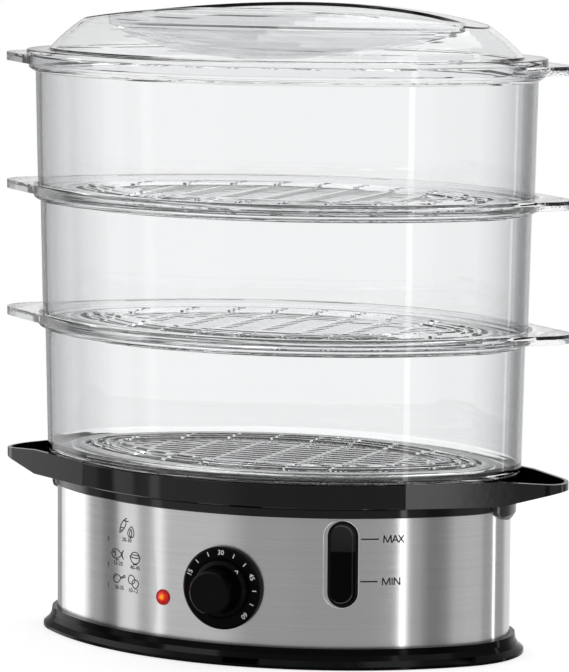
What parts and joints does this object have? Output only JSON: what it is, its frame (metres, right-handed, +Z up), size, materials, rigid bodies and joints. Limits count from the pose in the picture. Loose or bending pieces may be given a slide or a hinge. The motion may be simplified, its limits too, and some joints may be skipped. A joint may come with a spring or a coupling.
{
  "type": "electric food steamer",
  "caption": "Oval electric food steamer: steel-banded base with timer, lamp and water gauge, drip tray, stacked clear baskets and domed lid.",
  "frame": {"origin": "on the table, below the middle of the oval base, at the height of the foot's rest face", "axes": "+Z up, front with the timer, lamp and gauge towards -Y, the handles along X"},
  "size_m": [0.36, 0.214, 0.3784],
  "materials": {
    "black_gloss": "glossy moulded plastic",
    "black_satin": "satin black",
    "dial_black": "satin black with white scale",
    "rubber": "matt",
    "brushed_steel": "brushed along the band",
    "zinc_screws": "zinc plated",
    "cast_aluminium": "fine cast",
    "heater_steel": "dull",
    "silicone": "soft matt",
    "cream_plastic": "moulded",
    "brass": "bare",
    "lead_sleeve": "insulated lead",
    "bell_steel": "bright",
    "lamp_red": "translucent, lit",
    "lamp_holder": "pale moulded",
    "gauge_clear": "clear pane",
    "white_plastic": "moulded",
    "clear_plastic": "clear moulded"
  },
  "bodies": {
    "root": {"base_cover": "black_gloss", "rest_pads": "rubber", "band_front": "brushed_steel", "band_rear": "brushed_steel", "band_left": "brushed_steel", "band_right": "brushed_steel", "water_tank": "black_gloss", "cover_screws": "zinc_screws", "cord_gland": "black_satin", "heater_plate": "cast_aluminium", "heating_tube": "heater_steel", "heater_seal": "silicone", "clamp_ring": "heater_steel", "clamp_screws": "zinc_screws", "thermostat": "cream_plastic", "thermal_fuse": "brass", "terminal_block": "cream_plastic", "wiring": "lead_sleeve", "timer_case": "cream_plastic", "timer_bell": "bell_steel", "timer_screws": "zinc_screws", "dial_plate": "dial_black", "lamp_lens": "lamp_red", "lamp_body": "lamp_holder", "gauge_window": "gauge_clear", "gauge_seal": "black_satin"},
    "knob": {"timer_knob": "dial_black", "timer_shaft": "bell_steel"},
    "ring": {"steam_ring": "white_plastic"},
    "tray": {"drip_tray": "black_gloss"},
    "tier_1": {"basket_1": "clear_plastic", "basket_1_floor": "clear_plastic"},
    "tier_2": {"basket_2": "clear_plastic", "basket_2_floor": "clear_plastic"},
    "tier_3": {"basket_3": "clear_plastic", "basket_3_floor": "clear_plastic"},
    "lid": {"lid": "clear_plastic"}
  },
  "joints": [
    {"name": "timer_turn", "type": "hinge", "parent": "root", "child": "knob", "pos_m": [0, -0.08617, 0.0442], "axis": [0, 1, 0], "range_deg": [-180, 90]},
    {"name": "ring_lift", "type": "slide", "parent": "root", "child": "ring", "axis": [0, 0, 1], "range_m": [0, 0.07]},
    {"name": "tray_lift", "type": "slide", "parent": "ring", "child": "tray", "axis": [0, 0, 1], "range_m": [0, 0.04]},
    {"name": "basket_1_lift", "type": "slide", "parent": "tray", "child": "tier_1", "axis": [0, 0, 1], "range_m": [0, 0.04]},
    {"name": "basket_2_lift", "type": "slide", "parent": "tier_1", "child": "tier_2", "axis": [0, 0, 1], "range_m": [0, 0.04]},
    {"name": "basket_3_lift", "type": "slide", "parent": "tier_2", "child": "tier_3", "axis": [0, 0, 1], "range_m": [0, 0.04]},
    {"name": "lid_lift", "type": "slide", "parent": "tier_3", "child": "lid", "axis": [0, 0, 1], "range_m": [0, 0.04]}
  ]
}
